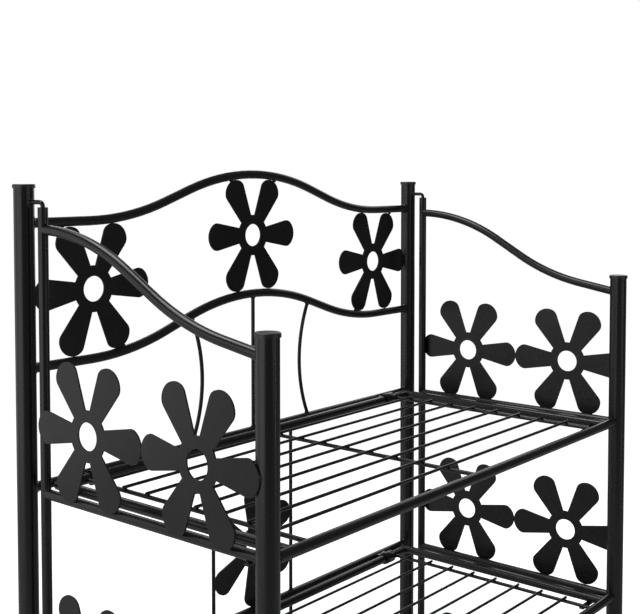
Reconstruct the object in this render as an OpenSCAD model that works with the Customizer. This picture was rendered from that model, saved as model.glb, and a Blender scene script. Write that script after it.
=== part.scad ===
// Folding plant stand with three wire shelves, welded from steel tube, with flower plates.
// The back frame is fixed. Each side frame turns on bent pins beside a rear post, and each
// shelf turns up about its rear edge. The origin is the middle of the footprint, on the floor.
// X runs to the right, the front is -Y and Z is up.

/* [Stand] */
// Distance between the post centres, side to side
post_span_x = 585; // [540:5:660]
// Distance between the post centres, front to back
post_span_y = 288; // [272:2:312]
// Height of the rear posts to the tops of their caps
rear_height = 765; // [750:5:820]
// Height of the lowest rail's centre above the floor
bottom_level = 95; // [70:5:110]
// Height from one level to the next
level_pitch = 200; // [180:5:205]

/* [Tubes] */
// Outside diameter of the posts
post_d = 18; // [15:0.5:20]
// Wall of the posts
post_wall = 1; // [0.8:0.1:1.5]
// Outside diameter of the bars and rails
bar_d = 9; // [8:0.5:10]
// Outside diameter of the shelf tubes
shelf_d = 9.5; // [8.5:0.1:10]
// Wall of the bars, rails and shelf tubes
bar_wall = 1; // [0.7:0.1:1.2]
// Diameter of the rods in the back
back_rod_d = 4; // [3:0.5:4.5]

/* [Caps and feet] */
// Diameter of the caps and feet
cap_d = 20; // [20:0.5:23]
// Height of the part of a cap or foot that shows
cap_h = 3.5; // [2.5:0.5:6]
// Rounding of the edge of a cap or foot
cap_round = 1.2; // [0.5:0.1:2]
// Length of the plug inside the post
cap_plug = 12; // [8:1:20]

/* [Flowers] */
// Thickness of the flower plates
flower_t = 1.5; // [1:0.1:2]
// Radius of a petal's tip
petal_tip_radius = 15.6; // [14:0.2:17]
// Radius of a petal's corners
petal_corner_radius = 9.5; // [8:0.5:11]
// Distance of a corner's centre from the middle of its petal
petal_corner_offset = 5; // [4:0.5:6]
// Width of a petal where it leaves the hub
petal_neck = 16.6; // [12:0.2:19]
// Diameter of the hub
hub_d = 44; // [38:1:50]
// Diameter of the hole in the hub
hub_hole_d = 24; // [16:1:28]
// How far the side flowers reach down over their rail
petal_lap = 3.3; // [2:0.1:4]
// How far the side flowers reach past the centres of the hinge tube and the front post
tube_lap = 1.5; // [0.5:0.1:3]

/* [Back frame] */
// Depth of the wave bar's ends below the rear cap tops
wave_drop = 34.3; // [30:0.1:45]
// Half the width of the wave
wave_half_width = 222; // [215:1:240]
// Bend radius of the wave
wave_radius = 288.5; // [260:0.5:300]
// Steepest slope of the wave, in degrees
wave_slope = 19; // [15:0.5:21]
// Distance of a bowed rod's ends from the middle
bowed_rod_x = 93; // [80:1:110]
// How far a bowed rod bows inward
rod_bow = 16; // [8:1:20]

/* [Side frames] */
// Distance of the hinge tube in front of the rear post
hinge_setback = 24.3; // [23:0.1:28]
// How far the side bars lie inside the line of the post centres
side_inset = 2; // [1:0.5:3]
// Depth of the hinge tube's top below the rear cap tops
hinge_drop = 20; // [16:1:25]
// Height of the hinge tube's lower end
hinge_bottom = 50; // [40:1:60]
// Diameter of the bent hinge pins
side_pin_d = 4; // [3:0.5:4.5]
// Bend radius of the hinge pins
side_pin_bend = 4; // [4:0.5:6]
// Depth of the hinge pins inside the tube
side_pin_depth = 18; // [12:1:30]
// Length of the bushes in the hinge tube
bush_length = 16; // [10:1:25]
// Depth of the curved bar's start below the rear cap tops
curve_drop = 39.5; // [36:0.5:50]
// Bend radius of the curved bar's upper bend
upper_bend = 215; // [190:5:225]
// Steepest slope of the curved bar, in degrees
curve_fall = 30; // [25:1:31]
// Straight length between the curved bar's two bends
curve_straight = 38; // [20:1:45]
// Bend radius of the curved bar's lower bend
lower_bend = 235; // [200:5:245]
// Slope of the curved bar at the front post, in degrees
curve_end_slope = 10; // [8:1:14]
// Height of the front cap tops above the curved bar's end
front_post_rise = 19.4; // [15:0.2:30]
// Distance of the shelf support tabs behind the front posts
tab_setback = 19; // [16:1:40]
// Width of a tab
tab_w = 5; // [4:0.5:8]
// Thickness of a tab
tab_t = 2.5; // [2:0.5:4]
// How far a tab reaches past the centre of the shelf's side tube
tab_lap = 20; // [10:1:24]

/* [Shelves] */
// Distance of the shelf's side tubes inside the post centres
shelf_inset = 25; // [22:0.5:30]
// Distance of the hinge knuckles' outer ends inside the post centres
knuckle_inset = 57; // [45:1:75]
// Length of a knuckle
knuckle_length = 15.5; // [10:0.5:25]
// Outside diameter of a knuckle
knuckle_d = 14; // [12.5:0.5:15]
// Distance of the shelf hinges in front of the crossbars
knuckle_reach = 16; // [14.5:0.5:18]
// Diameter of the shelf's hinge pins
shelf_pin_d = 5; // [4:0.5:6]
// Depth of a shelf's hinge pin inside the rear tube
shelf_pin_depth = 20; // [12:1:30]
// Length of the tapered plug head at the ends of the shelf's rear tube
plug_head = 2; // [1:0.5:3]
// Smallest diameter of the plug head
plug_tip_d = 7; // [6.8:0.1:7.8]
// Diameter of the deck wires
wire_d = 3; // [2.5:0.1:3.2]
// Number of deck wires
wire_count = 8; // [6:1:8]
// Distance from one deck wire to the next
wire_pitch = 30.1; // [26:0.1:33]
// Distance of the middle of the deck wires behind the middle of the stand
wire_shift = -3; // [-5:0.5:5]
// How far the deck wires pass the outer rods
wire_overhang = 2.5; // [1:0.5:5]
// Height of the deck wires' centres above the shelf frame's centre
wire_lift = 3.2; // [3:0.1:3.5]
// Diameter of the deck's outer rods
outer_rod_d = 4; // [3:0.1:4.2]
// Diameter of the deck's middle rod
middle_rod_d = 4; // [3:0.5:4.5]

/* [Clearances] */
// Gap between pieces that are welded or pressed together
weld_gap = 0.1; // [0.05:0.01:0.15]
// Gap between a piece and the seat that it rests on, or passes closely
seat_gap = 0.3; // [0.2:0.05:0.4]
// Gap round a pin that turns in its bore
running_gap = 0.06; // [0.03:0.01:0.09]
// Gap between a hinge tube's end and the bend of its pin
bend_gap = 0.4; // [0.3:0.05:0.8]
// Gap beside a knuckle's ends
knuckle_gap = 0.6; // [0.4:0.1:1.5]
// Gap between a knuckle's outer end and the deck's outer rod
rod_gap = 3.5; // [2:0.1:5]
// Gap between the two flowers of a side
flower_gap = 0.3; // [0.2:0.05:0.5]

/* [Colours] */
// Powder coat on the steel
paint_colour = "#26272a"; // ["#26272a", "#f2f2f0", "#6b4a36"]
// Plastic of the caps, feet and bushes
plastic_colour = "#17181a"; // ["#17181a", "#e8e8e6", "#5a5a5a"]

/* [Hidden] */
$fn = 40;

// Sides and levels
left = -1;
right = 1;
levels = [bottom_level, bottom_level + level_pitch, bottom_level + 2 * level_pitch];
bottom = 0;
middle = 1;
top = 2;

// Posts
post_x = post_span_x / 2;
post_y = post_span_y / 2;
post_r = post_d / 2;
bar_r = bar_d / 2;
bar_bore = bar_d - 2 * bar_wall;
shelf_r = shelf_d / 2;
shelf_bore = shelf_d - 2 * bar_wall;

// Rings where a straight length of a bent bar meets a bend
ring_height = 0.02;
ring_length = 1;
ring_split = 0.1;

// Hinge tube and the plane of the side frame
side_x = post_x - side_inset;
hinge_y = post_y - hinge_setback;
hinge_top = rear_height - hinge_drop;

// Petals: two flowers fill a side from the hinge tube to the front post, tip to tip
petal_count = 6;
petal_turn = 360 / petal_count;
petal_reach = (hinge_y + post_y + 2 * tube_lap - flower_gap) / 4;
petal_tip_x = petal_reach - petal_tip_radius;
tip_to_corner = petal_tip_radius - petal_corner_radius;
petal_corner_x = petal_tip_x + sqrt(pow(tip_to_corner, 2) - pow(petal_corner_offset, 2));
petal_slant_x = petal_tip_x * cos(petal_turn);
petal_slant_z = petal_tip_x * sin(petal_turn);
petal_rise = petal_slant_z + petal_tip_radius;

// Wave bars: level ends, two bends and a straight slope on each side of the crest
wave_bend_x = wave_radius * sin(wave_slope);
wave_straight = (wave_half_width - 2 * wave_bend_x) / cos(wave_slope);
wave_height = 2 * wave_radius * (1 - cos(wave_slope)) + wave_straight * sin(wave_slope);
top_wave_z = rear_height - wave_drop;
// The petal tips of the middle flower touch the inside of one crest and the outside of the other
tip_reach = bar_r + petal_tip_radius + weld_gap;
above_tip = sqrt(pow(wave_radius - tip_reach, 2) - pow(petal_slant_x, 2));
below_tip = sqrt(pow(wave_radius + tip_reach, 2) - pow(petal_slant_x, 2));
wave_spacing = 2 * petal_slant_z + below_tip - above_tip;
lower_wave_z = top_wave_z - wave_spacing;
middle_flower_z = top_wave_z + wave_height - wave_radius - petal_slant_z + above_tip;
outer_flower_x = post_x - post_r - weld_gap - petal_reach;

// Curved bar, from the hinge tube to the front post
bend_1_y = upper_bend * sin(curve_fall);
bend_1_z = upper_bend * (1 - cos(curve_fall));
slope_y = curve_straight * cos(curve_fall);
slope_z = curve_straight * sin(curve_fall);
bend_2_y = lower_bend * (sin(curve_fall) - sin(curve_end_slope));
bend_2_z = lower_bend * (cos(curve_end_slope) - cos(curve_fall));
end_y = hinge_y + post_y - bend_1_y - slope_y - bend_2_y;
end_z = end_y * tan(curve_end_slope);
curve_start_z = rear_height - curve_drop;
curve_end_z = curve_start_z - bend_1_z - slope_z - bend_2_z - end_z;
front_height = curve_end_z + front_post_rise;

// Side flowers, flat on the rails; the front one leans out over the front post
side_face_x = side_x + bar_r + weld_gap;
side_flower_lift = bar_r - petal_lap + petal_rise;
rear_flower_y = hinge_y + tube_lap - petal_reach;
lean_y = rear_flower_y - petal_reach - flower_gap;
lean_x = side_face_x - post_x;
lean_distance = norm([lean_x, lean_y + post_y]);
lean = asin((post_r + weld_gap) / lean_distance) - asin(lean_x / lean_distance);

// Shelves
shelf_lift = seat_gap - weld_gap + shelf_r - bar_r;
knuckle_y = post_y - knuckle_reach;
knuckle_x = post_x - knuckle_inset - knuckle_length / 2;
knuckle_web = 0.8 * bar_d;
plug_x = knuckle_x - knuckle_length / 2 - knuckle_gap;
sleeve_x = knuckle_x + knuckle_length / 2 + knuckle_gap;
shelf_side_x = post_x - shelf_inset;
shelf_tube_end = post_x - post_r - seat_gap;
outer_rod_x = knuckle_x + knuckle_length / 2 + rod_gap + outer_rod_d / 2;
rod_top = wire_lift - wire_d / 2 - weld_gap;
side_tube_end = knuckle_y + shelf_r + seat_gap;
back_rod_x = petal_rise + weld_gap + back_rod_d / 2;

// Height that an arc of the wave has dropped at a distance from its top
function arc_drop(distance) = wave_radius - sqrt(pow(wave_radius, 2) - pow(distance, 2));

// Height of a wave bar's centre above its ends, at a distance from the middle
function wave_rise(x) =
    abs(x) <= wave_bend_x ? wave_height - arc_drop(abs(x)) :
    abs(x) <= wave_half_width - wave_bend_x ?
        arc_drop(wave_bend_x) + (wave_half_width - wave_bend_x - abs(x)) * tan(wave_slope) :
    abs(x) < wave_half_width ? arc_drop(wave_half_width - abs(x)) : 0;

// Point where a line from a start touches the outer side of a circle
function touch_point(start, centre, radius) =
    let (offset = centre - start, distance = norm(offset))
    let (angle = atan2(offset.y, offset.x) + asin(radius / distance))
    start + sqrt(pow(distance, 2) - pow(radius, 2)) * [cos(angle), sin(angle)];

// Cylinder along X, Y or Z from a point
module along_x(d, length) {
    rotate([0, 90, 0]) cylinder(d = d, h = length);
}

module along_y(d, length) {
    rotate([-90, 0, 0]) cylinder(d = d, h = length);
}

// Rod bent round the origin in the XZ plane, from one angle through a turn
module bent_rod(d, radius, start, turn) {
    rotate([90, -start, 0])
        rotate_extrude(angle = turn, $fn = 96)
            translate([radius, 0]) circle(d = d, $fn = 24);
}

// Straight length of a bent bar along X, with a thin ring at each end that joins it to the bend
module straight_rod(d, length) {
    translate([ring_split, 0, 0]) along_x(d, length - 2 * ring_split);
    for (x = [0, length])
        translate([x - ring_length / 2, 0, 0]) along_x(d + 2 * ring_height, ring_length);
}

// Children as they are on the right, or mirrored for the left
module on_side(side) {
    if (side == left) mirror([1, 0, 0]) children();
    else children();
}

// Solid outline of a post, used to cut the ends of what meets it
module post_envelope(x, y) {
    translate([x, y, -1]) cylinder(r = post_r + weld_gap, h = rear_height + 2);
}

module hinge_tube_envelope() {
    translate([side_x, hinge_y, 0]) cylinder(r = bar_r + weld_gap, h = rear_height);
}

// Posts with their caps and feet

module post(x, y, height) {
    color(paint_colour)
        translate([x, y, cap_h + weld_gap])
            difference() {
                cylinder(d = post_d, h = height - 2 * (cap_h + weld_gap));
                translate([0, 0, -1]) cylinder(d = post_d - 2 * post_wall, h = height);
            }
}

// Plug with a rounded head, standing on the origin with its head up
module plug() {
    color(plastic_colour)
        rotate_extrude($fn = 48) {
            square([(post_d / 2 - post_wall - weld_gap), cap_plug + weld_gap]);
            translate([0, cap_plug]) {
                square([cap_d / 2, cap_h - cap_round]);
                square([cap_d / 2 - cap_round, cap_h]);
                translate([cap_d / 2 - cap_round, cap_h - cap_round]) circle(cap_round);
            }
        }
}

module cap(x, y, height) {
    translate([x, y, height - cap_h - cap_plug]) plug();
}

module foot(x, y) {
    translate([x, y, cap_h + cap_plug]) rotate([180, 0, 0]) plug();
}

module rear_post_caps() {
    for (side = [left, right]) cap(side * post_x, post_y, rear_height);
}

module rear_feet() {
    for (side = [left, right]) foot(side * post_x, post_y);
}

// Bars of the back frame

// One side of a wave, from the crest's bend to the post, as a solid rod
module wave_side(d) {
    translate([wave_bend_x, 0, wave_height - arc_drop(wave_bend_x)])
        rotate([0, wave_slope, 0]) straight_rod(d, wave_straight);
    translate([wave_half_width, 0, wave_radius])
        bent_rod(d, wave_radius, 270 - wave_slope, wave_slope);
    translate([wave_half_width, 0, 0]) straight_rod(d, post_x - wave_half_width);
}

module wave_rod(d, z) {
    translate([0, post_y, z]) {
        translate([0, 0, wave_height - wave_radius])
            bent_rod(d, wave_radius, 90 - wave_slope, 2 * wave_slope);
        wave_side(d);
        mirror([1, 0, 0]) wave_side(d);
    }
}

module wave_bar(z) {
    color(paint_colour)
        difference() {
            wave_rod(bar_d, z);
            wave_rod(bar_bore, z);
            post_envelope(-post_x, post_y);
            post_envelope(post_x, post_y);
        }
}

module crossbar(level) {
    color(paint_colour)
        difference() {
            translate([-post_x, post_y, levels[level]]) along_x(bar_d, 2 * post_x);
            translate([-post_x, post_y, levels[level]]) along_x(bar_bore, 2 * post_x);
            post_envelope(-post_x, post_y);
            post_envelope(post_x, post_y);
        }
}

module crossbar_envelope(level) {
    translate([-post_x, post_y, levels[level]]) along_x(bar_d + 2 * weld_gap, 2 * post_x);
}

// Three rods from the top crossbar to the lower wave bar, the outer two bowed inward
module upper_back_rods() {
    foot_z = levels[top];
    outer_length = lower_wave_z + wave_rise(bowed_rod_x) - foot_z;
    bow_radius = pow(outer_length, 2) / (8 * rod_bow) + rod_bow / 2;
    half_turn = asin(outer_length / 2 / bow_radius);
    color(paint_colour)
        difference() {
            union() {
                translate([0, post_y, foot_z])
                    cylinder(d = back_rod_d, h = lower_wave_z + wave_height - foot_z);
                for (side = [left, right])
                    on_side(side)
                        translate([bowed_rod_x - rod_bow + bow_radius, post_y,
                                   foot_z + outer_length / 2])
                            bent_rod(back_rod_d, bow_radius, 180 - half_turn, 2 * half_turn);
            }
            crossbar_envelope(top);
            wave_rod(bar_d + 2 * weld_gap, lower_wave_z);
        }
}

// Two straight rods between each pair of crossbars
module lower_back_rods() {
    rod_length = level_pitch - bar_d - 2 * weld_gap;
    color(paint_colour)
        for (level = [bottom, middle], side = [left, right])
            difference() {
                translate([side * back_rod_x, post_y, levels[level]])
                    cylinder(d = back_rod_d, h = level_pitch);
                crossbar_envelope(level);
                crossbar_envelope(level + 1);
            }
}

// Flower plates

module petal_outline() {
    neck = [hub_d / 2 * cos(asin(petal_neck / hub_d)), petal_neck / 2];
    corner = [petal_corner_x, petal_corner_offset];
    touch = touch_point(neck, corner, petal_corner_radius);
    polygon([
        [0, -neck.y], [neck.x, -neck.y], [touch.x, -touch.y], [corner.x, -corner.y],
        corner, touch, neck, [0, neck.y]
    ]);
    for (side = [left, right])
        translate([corner.x, side * corner.y]) circle(petal_corner_radius, $fn = 48);
    // The tip's arc runs between the lines through the corner centres
    intersection() {
        translate([petal_tip_x, 0]) circle(petal_tip_radius, $fn = 72);
        polygon([
            [petal_tip_x, 0],
            [petal_tip_x, 0] + 4 * (corner - [petal_tip_x, 0]),
            [petal_tip_x + 4 * tip_to_corner, 0],
            [petal_tip_x, 0] + 4 * ([corner.x, -corner.y] - [petal_tip_x, 0])
        ]);
    }
}

module flower_outline() {
    difference() {
        union() {
            circle(d = hub_d, $fn = 72);
            for (turn = [0 : petal_turn : 360 - petal_turn]) rotate(turn) petal_outline();
        }
        circle(d = hub_hole_d, $fn = 60);
    }
}

// Flower standing in the XZ plane with its middle at the origin
module flower() {
    translate([0, flower_t / 2, 0])
        rotate([90, 0, 0]) linear_extrude(flower_t) flower_outline();
}

module crest_flower(x) {
    inner_z = wave_rise(x - sign(x) * petal_slant_x);
    outer_z = wave_rise(x + sign(x) * petal_slant_x);
    z = x == 0 ? middle_flower_z : top_wave_z - wave_spacing / 2 + (inner_z + outer_z) / 2;
    tilt = sign(x) * atan((inner_z - outer_z) / (2 * petal_slant_x));
    color(paint_colour)
        difference() {
            translate([x, post_y, z]) rotate([0, tilt, 0]) flower();
            wave_rod(bar_d + 2 * weld_gap, top_wave_z);
            wave_rod(bar_d + 2 * weld_gap, lower_wave_z);
        }
}

module back_flower(level) {
    color(paint_colour)
        translate([0, post_y, levels[level] + bar_r + weld_gap + petal_reach])
            rotate([0, 90, 0]) flower();
}

// Hinges

// Sleeves for the shelf pins, each on a short web in front of a crossbar
module shelf_knuckles() {
    color(paint_colour)
        for (level = [bottom, middle, top], side = [left, right])
            translate([side * knuckle_x - knuckle_length / 2, 0, levels[level]])
                difference() {
                    union() {
                        translate([0, knuckle_y, shelf_lift]) along_x(knuckle_d, knuckle_length);
                        translate([0, knuckle_y, -knuckle_web / 2])
                            cube([knuckle_length, knuckle_reach, knuckle_web]);
                    }
                    translate([-1, knuckle_y, shelf_lift])
                        along_x(shelf_pin_d + 2 * running_gap, knuckle_length + 2);
                    translate([-1, post_y, 0]) along_x(bar_d + 2 * weld_gap, knuckle_length + 2);
                }
}

// Rod that leaves the rear post level and bends down into the top of the hinge tube
module side_hinge_pin(tube_end) {
    run = norm([side_inset, hinge_setback]);
    difference() {
        translate([side_x, hinge_y, tube_end])
            rotate([0, 0, atan2(hinge_setback, side_inset)]) {
                translate([0, 0, -side_pin_depth])
                    cylinder(d = side_pin_d, h = side_pin_depth + bend_gap);
                translate([side_pin_bend, 0, bend_gap])
                    bent_rod(side_pin_d, side_pin_bend, 90, 90);
                translate([side_pin_bend, 0, bend_gap + side_pin_bend])
                    along_x(side_pin_d, run - side_pin_bend);
            }
        post_envelope(post_x, post_y);
    }
}

module side_hinge_pins() {
    color(paint_colour)
        for (side = [left, right])
            on_side(side) {
                side_hinge_pin(hinge_top);
                translate([0, 0, hinge_bottom]) mirror([0, 0, 1]) side_hinge_pin(0);
            }
}

module hinge_tube(side) {
    color(paint_colour)
        on_side(side)
            translate([side_x, hinge_y, hinge_bottom])
                difference() {
                    cylinder(d = bar_d, h = hinge_top - hinge_bottom);
                    translate([0, 0, -1]) cylinder(d = bar_bore, h = hinge_top);
                }
}

module hinge_bushes(side) {
    color(plastic_colour)
        on_side(side)
            for (z = [hinge_bottom, hinge_top - bush_length])
                translate([side_x, hinge_y, z])
                    difference() {
                        cylinder(d = bar_bore - 2 * weld_gap, h = bush_length);
                        translate([0, 0, -1])
                            cylinder(d = side_pin_d + 2 * running_gap, h = bush_length + 2);
                    }
}

// Bars of a side frame

// The curved bar as a solid rod, from the centre of the hinge tube to that of the front post
module curved_rod(d) {
    translate([side_x, hinge_y, curve_start_z])
        rotate([0, 0, -90]) {
            translate([0, 0, -upper_bend]) bent_rod(d, upper_bend, 90 - curve_fall, curve_fall);
            translate([bend_1_y, 0, -bend_1_z])
                rotate([0, curve_fall, 0]) straight_rod(d, curve_straight);
            translate([bend_1_y + slope_y + lower_bend * sin(curve_fall), 0,
                       lower_bend * cos(curve_fall) - bend_1_z - slope_z])
                bent_rod(d, lower_bend, 270 - curve_fall, curve_fall - curve_end_slope);
            translate([bend_1_y + slope_y + bend_2_y, 0, -bend_1_z - slope_z - bend_2_z])
                rotate([0, curve_end_slope, 0]) straight_rod(d, end_y / cos(curve_end_slope));
        }
}

module curved_bar(side) {
    color(paint_colour)
        on_side(side)
            difference() {
                curved_rod(bar_d);
                curved_rod(bar_bore);
                hinge_tube_envelope();
                post_envelope(post_x, -post_y);
            }
}

module rail(side, level) {
    color(paint_colour)
        on_side(side)
            difference() {
                translate([side_x, -post_y, levels[level]]) along_y(bar_d, hinge_y + post_y);
                translate([side_x, -post_y, levels[level]]) along_y(bar_bore, hinge_y + post_y);
                hinge_tube_envelope();
                post_envelope(post_x, -post_y);
            }
}

// A pair of flowers on the outer face of a rail
module side_flowers(side, level) {
    color(paint_colour)
        on_side(side)
            translate([side_face_x, 0, levels[level] + side_flower_lift]) {
                translate([flower_t / 2, rear_flower_y, 0]) rotate([0, 0, 90]) flower();
                translate([0, lean_y, 0])
                    rotate([0, 0, lean])
                        translate([flower_t / 2, -petal_reach, 0]) rotate([0, 0, 90]) flower();
            }
}

// Tabs under the rails that carry the shelves' side tubes
module support_tabs(side) {
    inner_x = shelf_side_x - tab_lap;
    color(paint_colour)
        on_side(side)
            for (level = [bottom, middle, top])
                translate([inner_x, tab_setback - post_y - tab_w / 2,
                           levels[level] - bar_r - weld_gap - tab_t])
                    cube([side_x + bar_r - inner_x, tab_w, tab_t]);
}

// Shelves, drawn at the height of their frame's centre

module at_shelf(level) {
    translate([0, 0, levels[level] + shelf_lift]) children();
}

module shelf_front_tube(level) {
    color(paint_colour)
        at_shelf(level)
            translate([-shelf_tube_end, -post_y, 0])
                difference() {
                    along_x(shelf_d, 2 * shelf_tube_end);
                    translate([bar_wall, 0, 0]) along_x(shelf_bore, 2 * (shelf_tube_end - bar_wall));
                }
}

// Tube with a tapered plug in each end, bored for the hinge pins
module shelf_rear_tube(level) {
    color(paint_colour)
        at_shelf(level)
            translate([0, knuckle_y, 0])
                difference() {
                    union() {
                        translate([plug_head - plug_x, 0, 0])
                            along_x(shelf_d, 2 * (plug_x - plug_head));
                        for (side = [left, right])
                            on_side(side)
                                translate([plug_x - plug_head, 0, 0])
                                    rotate([0, 90, 0])
                                        cylinder(d1 = shelf_d, d2 = plug_tip_d, h = plug_head);
                    }
                    translate([shelf_pin_depth - plug_x, 0, 0])
                        along_x(shelf_bore, 2 * (plug_x - shelf_pin_depth));
                    translate([-plug_x - 1, 0, 0])
                        along_x(shelf_pin_d + 2 * weld_gap, 2 * plug_x + 2);
                }
}

module shelf_side_tubes(level) {
    color(paint_colour)
        at_shelf(level)
            for (side = [left, right])
                difference() {
                    translate([side * shelf_side_x, -post_y, 0])
                        along_y(shelf_d, side_tube_end + post_y);
                    translate([side * shelf_side_x, -post_y, 0])
                        along_y(shelf_bore, side_tube_end + post_y - bar_wall);
                    translate([-post_x, -post_y, 0]) along_x(shelf_d + 2 * weld_gap, 2 * post_x);
                }
}

// Pins from inside the rear tube, through the knuckles, to the side tubes, each with a sleeve
// on its outer length
module shelf_pins(level) {
    pin_start = plug_x - shelf_pin_depth;
    color(paint_colour)
        at_shelf(level)
            for (side = [left, right])
                on_side(side)
                    difference() {
                        union() {
                            translate([pin_start, knuckle_y, 0])
                                along_x(shelf_pin_d, shelf_side_x - pin_start);
                            translate([sleeve_x, knuckle_y, 0])
                                difference() {
                                    along_x(shelf_d, shelf_side_x - sleeve_x);
                                    translate([-1, 0, 0])
                                        along_x(shelf_pin_d + 2 * weld_gap, post_x);
                                }
                        }
                        translate([shelf_side_x, 0, 0]) along_y(shelf_d + 2 * weld_gap, post_y);
                    }
}

// Wires from side to side, lying on three rods that run from front to back
module shelf_deck(level) {
    front_edge = -post_y;
    rod_length = knuckle_y + post_y;
    wire_length = 2 * (outer_rod_x + wire_overhang);
    first_wire = wire_shift - wire_pitch * (wire_count - 1) / 2;
    color(paint_colour)
        at_shelf(level) {
            for (count = [0 : wire_count - 1])
                translate([-wire_length / 2, first_wire + count * wire_pitch, wire_lift])
                    along_x(wire_d, wire_length);
            difference() {
                union() {
                    translate([0, front_edge, rod_top - middle_rod_d / 2])
                        along_y(middle_rod_d, rod_length);
                    for (side = [left, right])
                        translate([side * outer_rod_x, front_edge, rod_top - outer_rod_d / 2])
                            along_y(outer_rod_d, rod_length);
                }
                for (y = [front_edge, knuckle_y])
                    translate([-post_x, y, 0]) along_x(shelf_d + 2 * weld_gap, 2 * post_x);
            }
        }
}

post(-post_x, post_y, rear_height);  // left_rear_post
post(post_x, post_y, rear_height);  // right_rear_post
rear_post_caps();
rear_feet();
wave_bar(top_wave_z);  // top_wave_bar
wave_bar(lower_wave_z);  // lower_wave_bar
crest_flower(-outer_flower_x);  // left_crest_flower
crest_flower(0);  // middle_crest_flower
crest_flower(outer_flower_x);  // right_crest_flower
upper_back_rods();
crossbar(top);  // top_crossbar
crossbar(middle);  // middle_crossbar
crossbar(bottom);  // bottom_crossbar
lower_back_rods();
back_flower(middle);  // middle_back_flower
back_flower(bottom);  // bottom_back_flower
shelf_knuckles();
side_hinge_pins();
post(-post_x, -post_y, front_height);  // left_front_post
cap(-post_x, -post_y, front_height);  // left_front_cap
foot(-post_x, -post_y);  // left_front_foot
hinge_tube(left);  // left_hinge_tube
hinge_bushes(left);  // left_hinge_bushes
curved_bar(left);  // left_curved_bar
rail(left, top);  // left_top_rail
rail(left, middle);  // left_middle_rail
rail(left, bottom);  // left_bottom_rail
side_flowers(left, top);  // left_top_flowers
side_flowers(left, middle);  // left_middle_flowers
side_flowers(left, bottom);  // left_bottom_flowers
support_tabs(left);  // left_support_tabs
post(post_x, -post_y, front_height);  // right_front_post
cap(post_x, -post_y, front_height);  // right_front_cap
foot(post_x, -post_y);  // right_front_foot
hinge_tube(right);  // right_hinge_tube
hinge_bushes(right);  // right_hinge_bushes
curved_bar(right);  // right_curved_bar
rail(right, top);  // right_top_rail
rail(right, middle);  // right_middle_rail
rail(right, bottom);  // right_bottom_rail
side_flowers(right, top);  // right_top_flowers
side_flowers(right, middle);  // right_middle_flowers
side_flowers(right, bottom);  // right_bottom_flowers
support_tabs(right);  // right_support_tabs
shelf_front_tube(top);  // top_shelf_front_tube
shelf_rear_tube(top);  // top_shelf_rear_tube
shelf_side_tubes(top);  // top_shelf_side_tubes
shelf_deck(top);  // top_shelf_deck
shelf_pins(top);  // top_shelf_pins
shelf_front_tube(middle);  // middle_shelf_front_tube
shelf_rear_tube(middle);  // middle_shelf_rear_tube
shelf_side_tubes(middle);  // middle_shelf_side_tubes
shelf_deck(middle);  // middle_shelf_deck
shelf_pins(middle);  // middle_shelf_pins
shelf_front_tube(bottom);  // bottom_shelf_front_tube
shelf_rear_tube(bottom);  // bottom_shelf_rear_tube
shelf_side_tubes(bottom);  // bottom_shelf_side_tubes
shelf_deck(bottom);  // bottom_shelf_deck
shelf_pins(bottom);  // bottom_shelf_pins
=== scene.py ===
"""Looks of a folding plant stand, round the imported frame: coat, moulded caps, weld beads and studio."""
import math

import bmesh
import bpy
import numpy as np
from bpy.props import FloatProperty, FloatVectorProperty, IntProperty, PointerProperty
from mathutils import Matrix, Vector, noise
from mathutils.bvhtree import BVHTree


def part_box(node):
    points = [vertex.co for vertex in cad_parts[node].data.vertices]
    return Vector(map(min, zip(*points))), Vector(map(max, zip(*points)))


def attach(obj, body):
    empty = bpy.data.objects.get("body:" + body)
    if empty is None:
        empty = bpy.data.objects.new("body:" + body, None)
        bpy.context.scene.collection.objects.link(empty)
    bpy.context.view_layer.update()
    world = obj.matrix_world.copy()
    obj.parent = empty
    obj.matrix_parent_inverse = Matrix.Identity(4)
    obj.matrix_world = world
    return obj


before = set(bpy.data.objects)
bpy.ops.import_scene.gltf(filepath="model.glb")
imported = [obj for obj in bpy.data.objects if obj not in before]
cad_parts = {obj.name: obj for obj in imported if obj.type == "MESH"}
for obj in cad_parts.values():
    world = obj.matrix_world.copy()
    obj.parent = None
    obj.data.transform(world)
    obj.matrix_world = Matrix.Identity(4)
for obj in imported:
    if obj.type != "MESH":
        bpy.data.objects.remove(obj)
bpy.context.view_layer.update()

bl_info = {
    "name": "Folding plant stand",
    "version": (1, 0, 0),
    "blender": (4, 5, 0),
    "location": "View3D > Sidebar > Plant stand",
    "description": "Coats the tubes and plates of a folding plant stand, welds it and sets up the studio",
    "category": "Object",
}

MM = 0.001

SIDES = ("left", "right")
LEVELS = ("top", "middle", "bottom")
PETALS = 6
PETAL_TURN = math.radians(60)
HINGE_PIN_RADIUS = 2 * MM
# A coat and the slot that it belongs to
TUBE_FINISH = ("tube_coat", "tube_paint")
PLATE_FINISH = ("flower_coat", "flower_paint")
WIRE_FINISH = ("wire_coat", "wire_paint")

# Points of a mesh that are this close are one point
SAME_POINT = 0.002 * MM
# A welded pair lies 0.1 mm apart in the frame
SEAM_REACH = 0.3 * MM
# Points round one tube end lie within this many tube radii, and there are at least so many of them
END_SPREAD = 2.6
END_POINTS = 8
# Share of a tube end's radius beyond which its points are on the outer rim
RIM_SHARE = 0.9
# Sections of the fillet round a tube end
SEAM_STEPS = 32
# Shape of a fillet, as shares of its leg: depth of its edges and root, bulge of its crown and its sides
FILLET_SINK = 0.12
FILLET_ROOT = 0.25
FILLET_BULGE = 0.16
FILLET_SWELL = 0.05
# Share of the way from a fillet's edge to its crown where its side swells
FILLET_BEND = 0.55
# How far out of a tube's side the search for that side starts, as a share of the leg
FILLET_START = 0.1
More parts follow.
